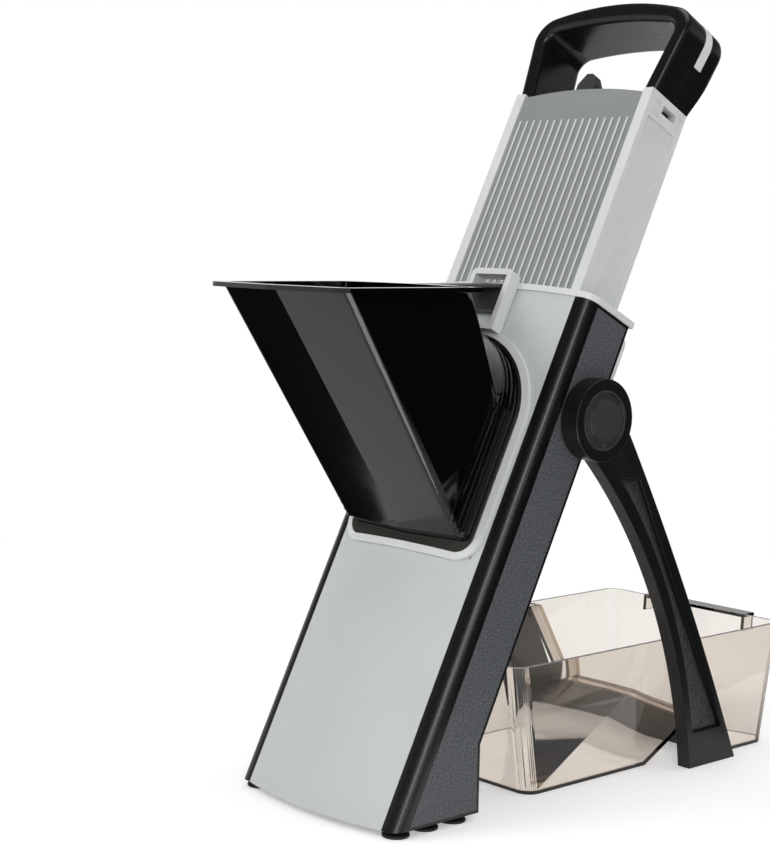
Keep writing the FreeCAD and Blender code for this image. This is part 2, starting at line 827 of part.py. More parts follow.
def runway_plate():
    """The plate under the blade, whose depth sets the slice. Its arm reaches the dial."""
    body = new_body("runway_plate")
    half = runway_half
    low = window_low + d.running_gap
    block(body, -half, half, low, runway_top, -runway_back, -runway_front)
    slot = block(body, comb_first - d.comb_slot / 2, comb_first + d.comb_slot / 2, comb_low,
                 runway_top + over, -runway_back - over, -runway_front + over, cut=True)
    repeat(body, slot, d.comb_count, d.comb_pitch)
    arm_low = comb_low - d.arm_inset
    for start in (-half, half - d.arm_width):
        block(body, start, start + d.arm_width, low + d.arm_inset, arm_low + over, -arm_rear, -runway_back)
    nut_top = dial_high + d.nut_half
    block(body, half - d.arm_width, half, arm_low, nut_top, -arm_rear, -arm_front)
    block(body, d.dial_side - d.nut_half, half - d.arm_width + over, dial_high - d.nut_half, nut_top,
          -arm_rear, -arm_front)
    cylinder(body, "XY", d.dial_side, dial_high, d.dial_shaft + d.shaft_gap,
             -arm_rear - over, -arm_front + over, cut=True)
    node(body, "runway_plate")


def julienne_comb():
    """The row of small uprights that rises through the runway to cut strips."""
    body = new_body("julienne_comb")
    half = runway_half - d.arm_width - d.comb_inset
    bar_top = runway_top - d.comb_drop
    block(body, -half, half, comb_low - d.comb_inset, bar_top, -comb_rear, -comb_front)
    tooth = block(body, comb_first - d.comb_skin / 2, comb_first + d.comb_skin / 2, comb_low + d.comb_hide,
                  runway_top - d.comb_inset, -comb_front, -runway_front - d.comb_hide)
    repeat(body, tooth, d.comb_count, d.comb_pitch)
    block(body, -d.dial_side - d.nut_half, -d.dial_side + d.nut_half, bar_top - over,
          dial_high + d.nut_half, -comb_rear, -comb_front)
    cylinder(body, "XY", -d.dial_side, dial_high, d.dial_shaft + d.shaft_gap,
             -comb_rear - over, -comb_front + over, cut=True)
    node(body, "julienne_comb")


def mechanism_cover():
    """The back of the carriage, with the bearings of the two dials."""
    body = new_body("mechanism_cover")
    block(body, -carriage_inside, carriage_inside, d.cover_low, window_top,
          -d.cover_back - d.cover_skin, -d.cover_back)
    for side in (-1, 1):
        cylinder(body, "XY", d.dial_side * side, dial_high, d.dial_shaft + d.shaft_gap,
                 -d.cover_back - d.cover_skin - over, -d.cover_back + over, cut=True)
    node(body, "mechanism_cover")


def dial(label, side):
    """A rear dial on its spindle, with a raised finger bar."""
    body = new_body(label)
    seat = d.cover_back + d.cover_skin + d.slide_gap
    out = d.dial_side * side
    disc = seat + d.dial_skin / 2
    cylinder(body, "XY", out, dial_high, d.dial_radius, -disc, -seat)
    half = d.dial_bar_half
    reach = d.dial_radius - d.dial_bar_end
    block(body, out - half, out + half, dial_high - reach, dial_high + reach, -seat - d.dial_skin, -disc)
    cylinder(body, "XY", out, dial_high, d.dial_shaft, -seat, -arm_front + d.shaft_end)
    node(body, label)


def lock_slider():
    """The thumb slide between the handle's legs that locks the carriage down for storage."""
    body = new_body("lock_slider")
    base = d.carriage_top + d.slide_gap
    left, right = d.lock_side - d.lock_half, d.lock_side + d.lock_half
    shoulder, top = base + d.lock_height / 2, base + d.lock_height
    crest = d.lock_half / 3
    outline = [(left, base), (right, base), (right, shoulder), (d.lock_side + crest, top)]
    outline += [(d.lock_side - crest, top), (left, shoulder)]
    thumb, stem, keeper = d.lock_depth / 2, d.lock_stem / 2, d.lock_keeper / 2
    extrude(body, "XY", outline, -d.lock_back - thumb, -d.lock_back + thumb)
    half = d.lock_half / 2
    low = window_top - d.running_gap
    block(body, d.lock_side - half, d.lock_side + half, low, base, -d.lock_back - stem, -d.lock_back + stem)
    block(body, left, right, low - d.lock_keeper_skin, low, -d.lock_back - keeper, -d.lock_back + keeper)
    node(body, "lock_slider")


# Handle

def handle_solid(label, grow, low_n, high_n, with_grip=True):
    """The handle's arched outline, grown by an offset, between two depths."""
    body = new_body(label)
    crown = d.handle_crown
    half = d.handle_half + grow
    top = handle_top + grow
    radius = (half * half + crown * crown) / (2 * crown)
    foot = d.carriage_half + grow
    outline = [(-foot, d.carriage_top), (foot, d.carriage_top), (half, top), (-half, top)]
    bends = {2: radius}
    extrude(body, "XY", outline, low_n, high_n, bends)
    round_edges(body, d.handle_shoulder + grow,
                lambda edge: upright_edge(edge) and at(edge.BoundBox.YMin, top))
    if with_grip:
        grip_top = d.carriage_top + d.grip_height
        bulge = d.grip_crown
        grip_radius = (d.grip_half * d.grip_half + bulge * bulge) / (2 * bulge)
        opening = [(-d.grip_foot, d.carriage_top), (d.grip_foot, d.carriage_top)]
        opening += [(d.grip_half, grip_top), (-d.grip_half, grip_top)]
        extrude(body, "XY", opening, low_n, high_n, {2: grip_radius}, cut=True)
        round_edges(body, d.grip_corner,
                    lambda edge: upright_edge(edge) and at(edge.BoundBox.YMin, grip_top))
    return body


def inlay_tool(label, outer_grow, inner_grow, spare):
    """A strip bent over both shoulders, between two offsets from the handle's outline."""
    front = d.handle_seam + d.inlay_back
    low_n = -(front + d.inlay_width + spare)
    high_n = -(front - spare)
    skin = boolean("Cut", label + "_skin", handle_solid(label + "_outer", outer_grow, low_n, high_n, False),
                   handle_solid(label + "_inner", inner_grow, low_n, high_n, False))
    window = new_body(label + "_window")
    edge = d.grip_half + d.inlay_edge - spare
    half = d.handle_half * 2
    for start, stop in ((edge, half), (-half, -edge)):
        block(window, start, stop, inlay_low - spare, handle_top + d.handle_crown * 2, low_n, high_n)
    return boolean("Common", label, skin, window)


def tangs(body, low_n, high_n):
    """The tongues under the handle's legs that snap into the carriage's windows."""
    for start in (-carriage_inside + d.fit_gap, carriage_inside - d.tang_width - d.fit_gap):
        block(body, start, start + d.tang_width, d.carriage_top - d.tang_length, d.carriage_top + over,
              low_n, high_n)


def handle():
    """Two halves that meet at a seam, with a pale strip let into each shoulder."""
    seam = -d.handle_seam
    groove = inlay_tool("inlay_groove", over, -d.inlay_skin, d.fit_gap)
    front = handle_solid("handle_front_half", size(0), seam, -d.handle_front)
    round_edges(front, d.handle_round, lambda edge: flat(edge.BoundBox.ZMin, edge.BoundBox.ZMax)
                and at(edge.BoundBox.ZMin, -d.handle_front)
                and edge.BoundBox.YMax > d.carriage_top.value + 0.01)
    tang_gap = d.slide_gap * 2
    tangs(front, seam, -d.snap_front - tang_gap)
    node(front, "handle_front_half")
    rear = handle_solid("handle_rear_solid", size(0), -d.handle_rear, seam)
    round_edges(rear, d.handle_round, lambda edge: flat(edge.BoundBox.ZMin, edge.BoundBox.ZMax)
                and at(edge.BoundBox.ZMin, -d.handle_rear)
                and edge.BoundBox.YMax > d.carriage_top.value + 0.01)
    behind = -d.handle_rear - over
    sweep_top = d.carriage_top + d.handle_sweep
    sweep = [(d.carriage_top, -carriage_rear), (d.carriage_top, behind)]
    sweep += [(sweep_top, behind), (sweep_top, -d.handle_rear)]
    extrude(rear, "YZ", sweep, -d.handle_half * 2, d.handle_half * 2, cut=True)
    tangs(rear, -snap_rear + tang_gap, seam)
    node(boolean("Cut", "handle_rear_half", rear, groove), "handle_rear_half")
    strips = inlay_tool("inlay_strips", d.inlay_proud, -d.inlay_skin, size(0))
    far = d.handle_half * 2
    for label, start, stop in (("left_handle_inlay", -far, 0), ("right_handle_inlay", 0, far)):
        side = new_body(label + "_side")
        block(side, start, stop, d.carriage_top, handle_top + d.handle_crown * 2, -d.handle_rear * 2, 0)
        node(boolean("Common", label, strips, side), label)


# Hopper

def throat_outline(grow, corner):
    """The hopper's outline at its throat, in the tower's front plane."""
    return tombstone(throat_half + grow, throat_sill - grow, d.mouth_arch, d.throat_prow, corner)


def rim_outline(grow, corner):
    """The hopper's outline round its level rim."""
    half, front, back = d.rim_half + grow, -d.rim_reach - grow, d.rim_side + grow
    return tombstone(half, front, back, d.rim_prow, corner, d.rim_crown)


def rim_sketch(body, grow, corner):
    """A level sketch at the rim, with its X across and its Y towards the back."""
    sketch = body.newObject("Sketcher::SketchObject", body.Name + "_rim")
    support = [item for item in body.Origin.OriginFeatures if item.Role == "XY_Plane"][0]
    sketch.AttachmentSupport = [(support, "")]
    sketch.MapMode = "FlatFace"
    up, out = rim_rise * cosine, rim_rise * sine
    turn = Rotation(Vector(-1, 0, 0), 90 - d.lean.value)
    sketch.AttachmentOffset = Placement(Vector(0, up.value, out.value), turn)
    sketch.setExpression("AttachmentOffset.Base.y", up.text)
    sketch.setExpression("AttachmentOffset.Base.z", out.text)
    sketch.setExpression("AttachmentOffset.Rotation.Angle", "90 - Dims.lean")
    outline, arch = rim_outline(grow, corner)
    draw(sketch, outline, arch)
    return sketch


def hopper_loft(body, grow, corner, kind):
    throat = new_sketch(body, "XY", d.throat_out)
    outline, arch = throat_outline(grow, corner)
    draw(throat, outline, arch)
    rim = rim_sketch(body, grow, corner)
    doc.recompute()
    loft = body.newObject("PartDesign::" + kind, body.Name + "_loft")
    loft.Profile = throat
    loft.Sections = [rim]
    loft.Ruled = True
    doc.recompute()


def feed_chute():
    """The hopper: a flared box from the arched throat to a level rim, with ridges round its foot."""
    body = new_body("feed_chute")
    rim_out = rim_rise * sine + d.rim_reach * cosine
    rim_up = rim_rise * cosine - d.rim_reach * sine
    wall_slope = (rim_up - throat_sill) / (rim_out - d.throat_out)
    hopper_loft(body, size(0), d.hopper_corner, "AdditiveLoft")
    flange = rim_sketch(body, d.rim_flange, d.hopper_corner + d.rim_flange)
    doc.recompute()
    rim = body.newObject("PartDesign::Pad", "rim_flange")
    rim.Profile = flange
    rim.setExpression("Length", d.rim_skin.text)
    rim.Reversed = True
    doc.recompute()
    outline, arch = throat_outline(size(0), d.hopper_corner)
    extrude(body, "XY", outline, -d.seal_in, d.throat_out, arch)
    for ridge in range(int(d.ridge_count.value)):
        low = d.ridge_low + d.ridge_pitch * ridge
        past = low - d.throat_out
        sill = throat_sill + (past * wall_slope if past.value > 0 else 0) + d.ridge_sill
        outline, arch = tombstone(throat_half + d.ridge_rise, sill, d.mouth_arch, 0, d.hopper_corner)
        extrude(body, "XY", outline, low, low + d.ridge_width, arch)
    hopper_loft(body, -d.hopper_wall, d.hopper_inside_corner, "SubtractiveLoft")
    outline, arch = throat_outline(-d.hopper_wall, d.hopper_inside_corner)
    extrude(body, "XY", outline, -d.seal_in, d.throat_out, arch, cut=True)
    node(body, "feed_chute")


def chute_seal():
    """The soft ring between the hopper's throat and the mouth."""
    body = new_body("chute_seal")
    grow = d.seal_gap
    outline, arch = tombstone(d.mouth_half - grow, d.mouth_sill + grow, d.mouth_arch)
    extrude(body, "XY", outline, -d.seal_in, d.seal_out, arch)
    round_edges(body, d.mouth_corner - grow,
                lambda edge: upright_edge(edge) and at(edge.BoundBox.YMin, d.mouth_sill + grow)
                and abs(edge.BoundBox.XMin) > 1)
    outline, arch = throat_outline(size(0), d.hopper_corner)
    extrude(body, "XY", outline, -d.seal_in, d.throat_out, arch, cut=True)
    node(body, "chute_seal")


def chute_latch():
    """The springy tongue on the hopper's rim that snaps into the loop."""
    body = new_body("chute_latch")
    back = d.panel_bulge + d.latch_back
    front = d.panel_bulge + d.loop_stand - d.latch_front
    low = loop_top - d.latch_drop

    rim_back = d.rim_side + d.rim_flange + d.rim_crown + d.latch_gap
    root = (rim_rise * tangent - rim_back - d.latch_skin * sine) * cosine

    def along_rim(out, drop):
        return rim_rise / cosine - out * tangent - drop

    outline = [(along_rim(root, d.latch_skin), root), (along_rim(front, d.latch_skin), front)]
    outline += [(low, front), (low, back), (along_rim(back, size(0)), back), (along_rim(root, size(0)), root)]
    half = d.loop_half - d.loop_bar - d.latch_side
    extrude(body, "YZ", outline, -half, half)
    node(body, "chute_latch")


# Stand, drawn from the side: Y back from the toe and Z up

pivot_y = d.pivot_high * sine + d.pivot_back * cosine
pivot_z = d.foot_height + d.pivot_high * cosine - d.pivot_back * sine
leg_inner = d.tower_half + d.leg_gap
leg_outer = leg_inner + d.leg_skin
# Where the leg runs into its round head, as shares of the head's radius
HEAD_FRONT = 0.45
HEAD_DROP = 0.7
HEAD_BACK = 0.96
HEAD_LIFT = 0.2
HEAD_SLOPE = 0.86
HEAD_NECK = 1.5


def leg_rear(height):
    """How far back the leg's straight rear edge is, at a height."""
    top_y = pivot_y + d.head_radius * HEAD_SLOPE
    return d.foot_rear + (top_y - d.foot_rear) * height / pivot_z


def leg(label, side):
    """One curved leg with its round head, recessed flank and block foot."""
    body = new_body(label, on_tower=False)
    start = leg_inner if side > 0 else -leg_outer
    head_front = pivot_y - d.head_radius * HEAD_FRONT
    head_low = pivot_z - d.head_radius * HEAD_DROP
    head_back = pivot_y + d.head_radius * HEAD_BACK
    outline = [(d.foot_front, 0), (d.foot_rear, 0), (head_back, pivot_z - d.head_radius * HEAD_LIFT)]
    outline += [(head_front, head_low)]
    extrude(body, "YZ", outline, start, start + d.leg_skin, {1: d.leg_camber, 3: -d.leg_bow})
    head_start = leg_inner if side > 0 else -leg_outer - d.head_rise
    cylinder(body, "YZ", pivot_y, pivot_z, d.head_radius, head_start, head_start + d.leg_skin + d.head_rise)
    border = d.leg_border
    block_top = d.foot_block
    neck = pivot_z - d.head_radius * HEAD_NECK
    neck_front = leg_rear(neck) - d.head_radius + border
    recess = [(d.foot_front + border / 2, block_top), (leg_rear(block_top) - border, block_top)]
    recess += [(leg_rear(neck) - border, neck), (neck_front, neck)]
    face = leg_outer - d.leg_recess if side > 0 else -leg_outer
    extrude(body, "YZ", recess, face, face + d.leg_recess, {3: -d.leg_bow}, cut=True)
    dish = d.cap_skin
    dish_start = leg_outer + d.head_rise - dish if side > 0 else -leg_outer - d.head_rise
    cylinder(body, "YZ", pivot_y, pivot_z, d.cap_radius + d.fit_gap * 2,
             dish_start, dish_start + dish, cut=True)
    cylinder(body, "YZ", pivot_y, pivot_z, d.pin_radius + d.pin_gap, -leg_outer * 2, leg_outer * 2, cut=True)
    node(body, label)


def ring_slot(turn):
    """One third of the ring between the cap's disc and its rim, less a rib: corners and bends."""
    inner, outer = d.cap_disc + d.cap_rib / 2, d.cap_radius - d.cap_rib
    corners = []
    for radius, share in ((inner, 0), (outer, 0), (outer, 1), (inner, 1)):
        angle = math.radians(turn + 120 * share) + math.copysign(d.cap_rib.value / radius.value, 0.5 - share)
        corners.append((pivot_y + radius * math.cos(angle), pivot_z + radius * math.sin(angle)))
    return corners, {1: outer, 3: -inner}


def pivot_cap(label, side):
    """The round cap in the leg's head, with its raised disc and three slots round it."""
    body = new_body(label, on_tower=False)
    face = leg_outer + d.head_rise
    depth = d.cap_skin - d.fit_gap
    start = face - depth if side > 0 else -face
    cylinder(body, "YZ", pivot_y, pivot_z, d.cap_radius, start, start + depth)
    disc = face if side > 0 else -face - d.cap_rise
    cylinder(body, "YZ", pivot_y, pivot_z, d.cap_disc, disc, disc + d.cap_rise)
    slot = face - d.cap_slot if side > 0 else -face
    for turn in (30, 150, 270):
        corners, bends = ring_slot(turn)
        extrude(body, "YZ", corners, slot, slot + d.cap_slot, bends, cut=True)
    node(body, label)


def stand_crossbar():
    """The plate that joins the feet along their rear edges."""
    body = new_body("stand_crossbar", on_tower=False)
    top = d.bar_height
    inset = d.bar_inset
    outline = [(d.foot_rear - inset - d.bar_skin, 0), (d.foot_rear - inset, 0)]
    outline += [(leg_rear(top) - inset, top), (leg_rear(top) - inset - d.bar_skin, top)]
    extrude(body, "YZ", outline, -leg_inner, leg_inner)
    node(body, "stand_crossbar")


# Catch bin

def bin_plan(height, grow, corner):
    """The bin's outline at a height: a neck between the legs and a wider rear part."""
    share = height / d.bin_height
    front = d.bin_front - d.bin_rake * share - grow
    rear = d.bin_rear + d.bin_flare * share + grow
    neck = d.bin_neck + d.bin_flare * share + grow
    back = d.bin_back + d.bin_flare * share + grow
    step = leg_rear(height) + d.bin_step_gap - grow
    corners = [(-neck, front), (neck, front), (neck, step), (back, step)]
    corners += [(back, rear), (-back, rear), (-back, step), (-neck, step)]
    return rounded(corners, corner, sharp=(2, 3, 6, 7))


def bin_loft(body, grow, low, corner, kind):
    sections = []
    for height in (size(low), d.bin_height):
        sketch = new_sketch(body, "XY", height)
        outline, bends = bin_plan(height, grow, corner)
        draw(sketch, outline, bends)
        sections.append(sketch)
    doc.recompute()
    loft = body.newObject("PartDesign::" + kind, body.Name + "_loft")
    loft.Profile = sections[0]
    loft.Sections = sections[1:]
    loft.Ruled = True
    doc.recompute()


def catch_container():
    """The clear bin, with a grip behind it. Its floor rises in a tunnel over the stand's crossbar."""
    body = new_body("catch_container", on_tower=False)
    wall = d.bin_wall
    bin_loft(body, size(0), 0, d.bin_corner, "AdditiveLoft")
    bin_loft(body, -wall, wall, d.bin_corner - wall, "SubtractiveLoft")
    root = d.bin_rear + d.bin_flare - wall
    lip_end = d.bin_rear + d.bin_flare + d.bin_lip
    half = d.bin_lip_half
    block(body, -half, half, root, lip_end, d.bin_height - wall, d.bin_height)
    for start in (-half, half - wall):
        block(body, start, start + wall, root, lip_end, d.bin_height - d.bin_lip_drop, d.bin_height)
    gap = d.tunnel_gap
    roof = d.bar_height + gap
    crest = leg_rear(roof) - d.bar_inset - d.bar_skin - gap / 5
    rear = d.foot_rear + gap / 2
    rear_top = leg_rear(roof) + gap / 2
    hump = [(d.tunnel_toe - wall * 2, 0), (rear + wall, 0), (rear_top + wall, roof + wall)]
    hump += [(crest - wall / 2, roof + wall)]
    extrude(body, "YZ", hump, -d.bin_neck, d.bin_neck)
    tunnel = [(d.tunnel_toe, 0), (rear, 0), (rear_top, roof), (crest, roof)]
    extrude(body, "YZ", tunnel, -d.bin_back * 2, d.bin_back * 2, cut=True)
    node(body, "catch_container")


front_panel()
chute_frame()
side_shell("left_side_shell", -1)
side_shell("right_side_shell", 1)
top_collar()
base_plate()
rear_bridge()
guide_rail("left_guide_rail", -1)
guide_rail("right_guide_rail", 1)
spring_rod("left_spring_rod", -1)
spring_rod("right_spring_rod", 1)
return_spring("left_return_spring", -1)
return_spring("right_return_spring", 1)
suction_feet()
pivot_pin("left_pivot_pin", -1)
pivot_pin("right_pivot_pin", 1)
carriage_frame()
landing_plate()
blade_and_holder()
runway_plate()
julienne_comb()
mechanism_cover()
dial("thickness_dial", 1)
dial("julienne_dial", -1)
lock_slider()
handle()
feed_chute()
chute_seal()
chute_latch()
leg("left_leg", -1)
leg("right_leg", 1)
pivot_cap("left_pivot_cap", -1)
pivot_cap("right_pivot_cap", 1)
stand_crossbar()
catch_container()

doc.recompute()
for item in doc.Objects:
    if "Invalid" in item.State or "Error" in item.State:
        raise RuntimeError("%s failed: %s" % (item.Label, item.State))
for item in nodes:
    if item.Shape.isNull() or not item.Shape.isValid():
        raise RuntimeError("%s has no valid shape" % item.Label)

os.makedirs("parts", exist_ok=True)
for item in nodes:
    item.Shape.exportStep("parts/%s.step" % item.Label)
    print("%-22s %9.0f mm3" % (item.Label, item.Shape.Volume))
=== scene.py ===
import json
import math

import bmesh
import bpy
from mathutils import Matrix, Vector


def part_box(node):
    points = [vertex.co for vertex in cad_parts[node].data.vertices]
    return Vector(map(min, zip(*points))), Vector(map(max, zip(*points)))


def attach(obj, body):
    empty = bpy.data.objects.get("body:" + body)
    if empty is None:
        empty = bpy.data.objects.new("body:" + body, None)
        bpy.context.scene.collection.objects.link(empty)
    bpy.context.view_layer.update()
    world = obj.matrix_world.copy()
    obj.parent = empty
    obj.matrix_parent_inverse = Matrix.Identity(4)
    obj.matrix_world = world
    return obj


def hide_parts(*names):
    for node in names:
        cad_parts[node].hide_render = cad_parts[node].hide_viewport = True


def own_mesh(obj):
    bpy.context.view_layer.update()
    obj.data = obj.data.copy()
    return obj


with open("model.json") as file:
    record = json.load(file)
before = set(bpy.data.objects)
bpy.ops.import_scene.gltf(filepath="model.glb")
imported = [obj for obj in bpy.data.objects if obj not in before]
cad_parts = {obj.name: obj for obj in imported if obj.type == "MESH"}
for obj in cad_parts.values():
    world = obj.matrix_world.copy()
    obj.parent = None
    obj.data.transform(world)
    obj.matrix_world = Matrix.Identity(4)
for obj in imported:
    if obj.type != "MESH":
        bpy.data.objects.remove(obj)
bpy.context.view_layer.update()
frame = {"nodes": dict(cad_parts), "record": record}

# An upright push-down mandoline slicer in a plain white studio. Lengths are in metres.
# Each CAD node gets a piece with softened edges and a procedural finish, which rides on the node's body.

MILLIMETRE = 0.001

# The tower leans back about its lower front edge, the toe.
LEAN = math.radians(26.4)
UP_TOWER = Vector((0, math.sin(LEAN), math.cos(LEAN)))
OUT_TOWER = Vector((0, -math.cos(LEAN), math.sin(LEAN)))

WHITE = (1, 1, 1, 1)


# Shader helpers

# Noise seldom leaves these middle values, so the finishes spread them over their whole range.
GLOSS_START, GLOSS_STOP = 0.3, 0.7
TONE_START, TONE_STOP = 0.35, 0.65


def new_shader(name):
    """A material, its node tree and its Principled shader."""
    material = bpy.data.materials.new(name)
    material.use_nodes = True
    return material, material.node_tree, material.node_tree.nodes["Principled BSDF"]


def pattern(tree, kind, size, stretch=(1, 1, 1), **settings):
    """A procedural texture whose features are about size metres across, fixed to the object."""
    place = tree.nodes.new("ShaderNodeTexCoord")
    mapping = tree.nodes.new("ShaderNodeMapping")
    mapping.inputs["Scale"].default_value = stretch
    texture = tree.nodes.new("ShaderNodeTex" + kind)
    texture.inputs["Scale"].default_value = 1 / size
    for name, value in settings.items():
        texture.inputs[name].default_value = value
    tree.links.new(place.outputs["Object"], mapping.inputs["Vector"])
    tree.links.new(mapping.outputs["Vector"], texture.inputs["Vector"])
    return texture


def feed(tree, value, socket):
    """Links a socket to another, or sets it to a number."""
    if isinstance(value, bpy.types.NodeSocket):
        tree.links.new(value, socket)
    else:
        socket.default_value = value


def combine(tree, operation, first, second):
    """The product or the larger one of two numbers."""
    node = tree.nodes.new("ShaderNodeMath")
    node.operation = operation
    feed(tree, first, node.inputs[0])
    feed(tree, second, node.inputs[1])
    return node.outputs["Value"]


def between(tree, source, low, high, start=0.0, stop=1.0):
    """A number that goes from low to high while the source goes from start to stop."""
    spread = tree.nodes.new("ShaderNodeMapRange")
    feed(tree, source, spread.inputs["Value"])
    feed(tree, start, spread.inputs["From Min"])
    feed(tree, stop, spread.inputs["From Max"])
    feed(tree, low, spread.inputs["To Min"])
    feed(tree, high, spread.inputs["To Max"])
    return spread.outputs["Result"]


def vary(tree, source, low, high, socket):
    """Feeds a number socket from a pattern, between two values."""
    tree.links.new(between(tree, source, low, high, GLOSS_START, GLOSS_STOP), socket)


def tint(tree, source, dark, light, socket):
    """Feeds a colour socket from a pattern, between two colours."""
    ramp = tree.nodes.new("ShaderNodeValToRGB")
    first, last = ramp.color_ramp.elements
    first.position = TONE_START
    first.color = (*dark, 1)
    last.position = TONE_STOP
    last.color = (*light, 1)
    tree.links.new(source, ramp.inputs["Fac"])
    tree.links.new(ramp.outputs["Color"], socket)


def emboss(tree, shader, source, depth, strength=1.0):
    """Raises a pattern as fine relief."""
    bump = tree.nodes.new("ShaderNodeBump")
    bump.inputs["Strength"].default_value = strength
    bump.inputs["Distance"].default_value = depth
    tree.links.new(source, bump.inputs["Height"])
    tree.links.new(bump.outputs["Normal"], shader.inputs["Normal"])


def scaled(colour, share):
    """A colour made darker or lighter by a share."""
    return tuple(channel * share for channel in colour)


# Finishes, whose grain and depth are in millimetres

CLOUD_SIZE = 45.0 * MILLIMETRE
PIT_SIZE = 0.9 * MILLIMETRE
PIT_DEPTH = 0.1 * MILLIMETRE
SPECK_SIZE = 0.72 * MILLIMETRE
SCRATCH_WIDTH = 0.25 * MILLIMETRE
SCRATCH_DEPTH = 0.01 * MILLIMETRE
SCRATCH_TONE = 0.86
CLEAR_IOR = 1.49
HAZE_SIZE = 30.0 * MILLIMETRE
HAZE_DEPTH = 0.06 * MILLIMETRE
HAZE_STRENGTH = 0.4
HAZE_LEAST, HAZE_MOST = 0.01, 0.05

# How far the roughness strays to either side of its middle value.
MOULD_SPREAD = 0.14
SPECK_SPREAD = 0.2
SCRATCH_SPREAD = 0.3


def moulded(name, colour, roughness, grain, depth, unevenness, specular=0.5):
    """Moulded plastic: a fine grain in its relief and gloss, and a faintly uneven tone."""
    material, tree, shader = new_shader(name)
    clouds = pattern(tree, "Noise", CLOUD_SIZE, Detail=4.0)
    tint(tree, clouds.outputs["Fac"], scaled(colour, 1 - unevenness), scaled(colour, 1 + unevenness),
         shader.inputs["Base Color"])
    fine = pattern(tree, "Noise", grain * MILLIMETRE, Detail=3.0, Roughness=0.6)
    vary(tree, fine.outputs["Fac"], roughness * (1 - MOULD_SPREAD), roughness * (1 + MOULD_SPREAD),
         shader.inputs["Roughness"])
    emboss(tree, shader, fine.outputs["Fac"], depth * MILLIMETRE)
    shader.inputs["Specular IOR Level"].default_value = specular
    return material


def spark_eroded(name, colour, painted_glint):
    """Dark plastic with a spark-eroded grain: small pits, and pale specks painted into its colour, a
    painted glint where the crests catch light.
    """
    roughness = 0.5
    material, tree, shader = new_shader(name)
    pits = pattern(tree, "Voronoi", PIT_SIZE)
    fine = pattern(tree, "Noise", SPECK_SIZE, Detail=4.0, Roughness=0.7)
    tint(tree, fine.outputs["Fac"], colour, painted_glint, shader.inputs["Base Color"])
    vary(tree, fine.outputs["Fac"], roughness * (1 + SPECK_SPREAD), roughness * (1 - SPECK_SPREAD),
         shader.inputs["Roughness"])
    emboss(tree, shader, pits.outputs["Distance"], PIT_DEPTH)
    shader.inputs["Specular IOR Level"].default_value = 0.4
    return material


def brushed_steel(name, colour, roughness, stretch):
    """Ground steel: fine scratches, which are long along an axis where the stretch is small."""
    material, tree, shader = new_shader(name)
    lines = pattern(tree, "Noise", SCRATCH_WIDTH, stretch, Detail=5.0, Roughness=0.65)
    tint(tree, lines.outputs["Fac"], scaled(colour, SCRATCH_TONE), colour, shader.inputs["Base Color"])
    vary(tree, lines.outputs["Fac"], roughness * (1 - SCRATCH_SPREAD),
         roughness * (1 + SCRATCH_SPREAD), shader.inputs["Roughness"])
    emboss(tree, shader, lines.outputs["Fac"], SCRATCH_DEPTH)
    shader.inputs["Metallic"].default_value = 1.0
    return material


def smoke_plastic(name, colour, density):
    """Clear plastic with a warm grey tint that deepens with its thickness."""
    material, tree, shader = new_shader(name)
    shader.inputs["Base Color"].default_value = WHITE
    shader.inputs["Transmission Weight"].default_value = 1.0
    shader.inputs["IOR"].default_value = CLEAR_IOR
    haze = pattern(tree, "Noise", HAZE_SIZE, Detail=3.0)
    vary(tree, haze.outputs["Fac"], HAZE_LEAST, HAZE_MOST, shader.inputs["Roughness"])
    emboss(tree, shader, haze.outputs["Fac"], HAZE_DEPTH, HAZE_STRENGTH)
    absorb = tree.nodes.new("ShaderNodeVolumeAbsorption")
    absorb.inputs["Color"].default_value = (*colour, 1)
    absorb.inputs["Density"].default_value = density
    tree.links.new(absorb.outputs["Volume"], tree.nodes["Material Output"].inputs["Volume"])
    return material


